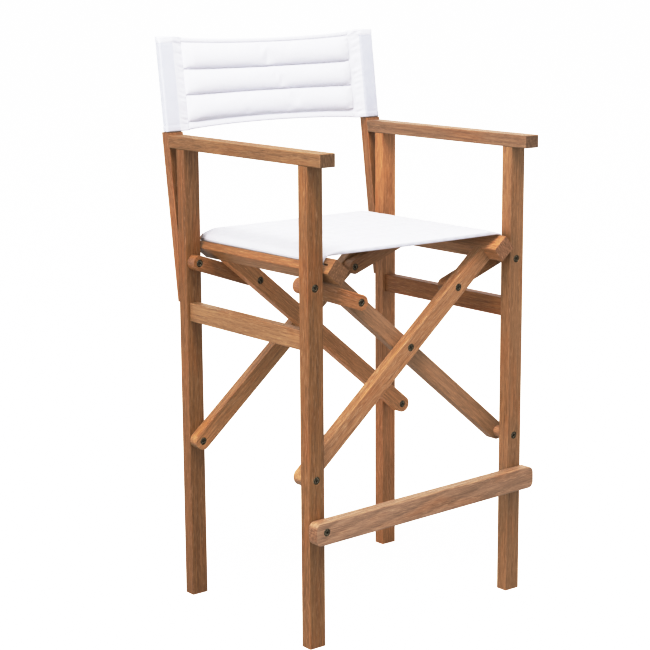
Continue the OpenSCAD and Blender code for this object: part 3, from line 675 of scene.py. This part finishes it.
# ---------------------------------------------------------------- seat sling
CXN = 263 - 46.4293 + 0.0        # rail centre, mm
RX = 282.3 * CA
CZ = 338.0 + 263.0 * math.tan(math.radians(39.9))
RZ = CZ + 282.3 * SA
COR_X = RX + 20 * CA - 17 * SA
COR_Z = RZ + 20 * SA + 17 * CA
FN = (CA, SA)                    # outward normal of the rail's outer face (left side)
FD = (SA, -CA)                   # down along that face
S_Y0, S_Y1 = -199.0, 206.0


def seat():
    # section of the inner layer, from the middle to the left groove: (x, z, thickness)
    top = []
    nt = 44
    for i in range(nt + 1):
        f = i / nt
        x = f * (COR_X - 5.0)
        z = COR_Z + 1.6 - 0.8 * (1 - f ** 2.2)
        top.append((x, z, 9.2 - 5.8 * max(0.0, (x - COR_X + 29.0) / 24.0) ** 1.7, (0.0, 1.0)))
    # round the corner
    for i in range(1, 7):
        t = math.radians(90 - (90 - math.degrees(math.atan2(FN[1], FN[0]))) * i / 6)
        r = 2.6
        cxx, czz = COR_X - 2.2, COR_Z - 1.8
        n = (math.cos(t), math.sin(t))
        top.append((cxx + n[0] * r, czz + n[1] * r, 3.4 + 0.5 * (i / 6) ** 2, n))
    # down the outer face to the groove's mouth
    base = (COR_X + FN[0] * 0.7, COR_Z + FN[1] * 0.7)
    for i in range(1, 8):
        d = 1.5 + (13.4 - 1.5) * i / 7
        th = (4.2, 4.4, 4.3, 3.9, 3.2, 2.3, 1.4)[i - 1]
        top.append((base[0] + FD[0] * d, base[1] + FD[1] * d, th, FN))
    # into the groove
    for i, (d, n_in) in enumerate([(14.5, 0.2), (15.1, -2.2), (15.3, -5.0), (15.4, -7.5)]):
        top.append((COR_X + FD[0] * d + FN[0] * n_in, COR_Z + FD[1] * d + FN[1] * n_in, 0.9, (-FD[0], -FD[1])))
    half = top
    full = [(-x, z, th, (-n[0], n[1])) for x, z, th, n in reversed(half[1:])] + half
    npt = len(full)
    # rows along y: hem 12, eight bays, hem 12
    lines = [S_Y0 + 12.0 + (S_Y1 - S_Y0 - 24.0) * k / 8 for k in range(9)]
    ys = [(S_Y0, "edge"), (S_Y0 + 0.9, "edge2")]
    for y in (S_Y0 + 4, S_Y0 + 8):
        ys.append((y, "hem"))
    for k in range(8):
        ys.append((lines[k], "line"))
        for q in (0.10, 0.22, 0.36, 0.5, 0.64, 0.78, 0.90):
            ys.append((lines[k] + (lines[k + 1] - lines[k]) * q, "bay"))
    ys.append((lines[8], "line"))
    for y in (S_Y1 - 8, S_Y1 - 4):
        ys.append((y, "hem"))
    ys += [(S_Y1 - 0.9, "edge2"), (S_Y1, "edge")]
    nr = len(ys)
    verts, pins = [], []
    for layer in (0, 1):
        for j, (y, kind) in enumerate(ys):
            for k, (x, z, th, n) in enumerate(full):
                f = 1.0
                if kind == "edge":
                    lo, hi = 0.12, 0.80
                elif kind == "edge2":
                    lo, hi = 0.02, 0.93
                elif kind == "line":
                    lo, hi = 0.0, 0.58 - 0.10 * max(0.0, min(1.0, (abs(x) - COR_X + 16.0) / 16.0))
                elif kind == "hem":
                    lo, hi = 0.0, 0.97
                else:
                    lo, hi = 0.0, 1.0
                m = (hi if layer else lo) * th
                # the front edge runs a little askew, further forward on the left rail
                fy = max(0.0, min(1.0, (y - S_Y1) / (S_Y0 - S_Y1)))
                sk = max(-1.0, min(1.0, x / COR_X))
                yy = y - (6.5 * sk + 4.0) * fy ** 1.5 if abs(x) <= COR_X else y - (6.5 * sk + 4.0) * fy ** 1.5 * max(0.0, 1.0 - 0.9 * (abs(x) - COR_X) / 9.0)
                verts.append(P(x + n[0] * m, yy, z + n[1] * m))
                i = len(verts) - 1
                wrapped = abs(x) > COR_X - 6.0
                if kind != "bay" or wrapped or layer == 0:
                    pins.append((i, 1.0))
                elif abs(x) > COR_X - 14:
                    pins.append((i, 0.4))
    off = nr * npt
    faces = []
    for j in range(nr - 1):
        for k in range(npt - 1):
            a = j * npt + k
            faces.append((a, a + 1, a + npt + 1, a + npt))
            faces.append((off + a, off + a + npt, off + a + npt + 1, off + a + 1))
    for k in range(npt - 1):
        faces.append((k, off + k, off + k + 1, k + 1))
        a = (nr - 1) * npt + k
        faces.append((a, a + 1, off + a + 1, off + a))
    for j in range(nr - 1):
        a, b = j * npt, (j + 1) * npt
        faces.append((a, b, off + b, off + a))
        a, b = a + npt - 1, b + npt - 1
        faces.append((a, off + a, off + b, b))
    o = make("seat_pad", verts, faces, CANVAS_SEAT)
    inflate(o, pins, 0.003, pressure=3.0, grow=-0.006, bend=1.5)
    subdiv(o, 1)
    return o


seat_pad = seat()
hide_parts("seat_sling")
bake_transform(seat_pad)

# ---------------------------------------------------------------- stage
me = bpy.data.meshes.new("floor")
S = 12.0
me.from_pydata([(-S, -S, 0), (S, -S, 0), (S, S, 0), (-S, S, 0)], [], [(0, 1, 2, 3)])
floor = bpy.data.objects.new("floor", me)
bpy.context.scene.collection.objects.link(floor)
gf = G("floor_white")
tcf = gf.n("ShaderNodeTexCoord")
ff = gf.noise(tcf.outputs["Object"], 3.0, 2.0)
gf.put(gf.bsdf.inputs["Base Color"], gf.ramp(ff, [(0.3, (0.47, 0.47, 0.47)), (0.7, (0.48, 0.48, 0.48))]))
gf.bsdf.inputs["Roughness"].default_value = 0.95
gf.bsdf.inputs["Specular IOR Level"].default_value = 0.0
gf.bsdf.inputs["Emission Color"].default_value = (1.0, 0.995, 0.99, 1.0)
lpf = gf.n("ShaderNodeLightPath")
gf.put(gf.bsdf.inputs["Emission Strength"], gf.math("MULTIPLY", lpf.outputs["Is Camera Ray"], 1.0))
me.materials.append(gf.mat)

world = bpy.data.worlds.new("studio")
bpy.context.scene.world = world
world.use_nodes = True
# white behind the chair, dimmer as a lamp
wt = world.node_tree
wb = wt.nodes["Background"]
lp = wt.nodes.new("ShaderNodeLightPath")
mx = wt.nodes.new("ShaderNodeMath")
mx.operation = "MAXIMUM"
wt.links.new(lp.outputs["Is Camera Ray"], mx.inputs[0])
wt.links.new(lp.outputs["Is Glossy Ray"], mx.inputs[1])
ws = wt.nodes.new("ShaderNodeMapRange")
ws.inputs[3].default_value = 0.78
ws.inputs[4].default_value = 1.35
wt.links.new(mx.outputs[0], ws.inputs[0])
wt.links.new(ws.outputs[0], wb.inputs[1])
wb.inputs[0].default_value = (1.0, 0.998, 0.995, 1.0)


def area(name, loc, target, size, power, color=(1, 1, 1)):
    l = bpy.data.lights.new(name, "AREA")
    l.shape = "RECTANGLE"
    l.size, l.size_y = size
    l.energy = power
    l.color = color
    o = bpy.data.objects.new(name, l)
    bpy.context.scene.collection.objects.link(o)
    o.location = loc
    d = Vector(target) - Vector(loc)
    o.rotation_euler = d.to_track_quat("-Z", "Y").to_euler()
    return o


KEY = Vector((-0.30, -0.40, 1.0)).normalized()
area("key_box", tuple(Vector((0, 0, 0.75)) + KEY * 3.6), (0, 0, 0.75), (1.5, 1.5), 114)
area("left_box", (-3.5, -0.7, 0.75), (0, 0, 0.5), (2.2, 2.4), 78)

# camera at the fitted position
yaw, pitch, roll = math.radians(-38.51), math.radians(-11.47), math.radians(-0.39)
e = -pitch
back = Vector((math.sin(yaw) * math.cos(e), -math.cos(yaw) * math.cos(e), math.sin(e)))
fwd = -back
r = fwd.cross(Vector((0, 0, 1))).normalized()
u = r.cross(fwd).normalized()
r2 = math.cos(roll) * r + math.sin(roll) * u
u2 = -math.sin(roll) * r + math.cos(roll) * u
cam = bpy.data.cameras.new("camera")
cam.sensor_width = 36.0
cam.lens = 1791.98 / 650 * 36.0
cam.clip_end = 60
co = bpy.data.objects.new("camera", cam)
bpy.context.scene.collection.objects.link(co)
loc = P(-2305.3, -2809.2, 1312.7)
co.matrix_world = Matrix(((r2.x, u2.x, back.x, loc.x), (r2.y, u2.y, back.y, loc.y), (r2.z, u2.z, back.z, loc.z), (0, 0, 0, 1)))
bpy.context.scene.camera = co
vs = bpy.context.scene.view_settings
vs.view_transform = "Standard"
vs.use_curve_mapping = True
cm = vs.curve_mapping
cm.white_level = (1.6, 1.6, 1.6)
crv = cm.curves[3]
pts = [(0.0, 0.0), (0.12, 0.085), (0.25, 0.215), (0.40, 0.44), (0.55, 0.66), (0.72, 0.84), (0.95, 0.935), (1.25, 0.985), (1.6, 1.0)]
crv.points[0].location = (0.0, 0.0)
crv.points[-1].location = (1.0, 1.0)
for px_, py_ in pts[1:-1]:
    crv.points.new(px_ / 1.6, py_)
cm.update()
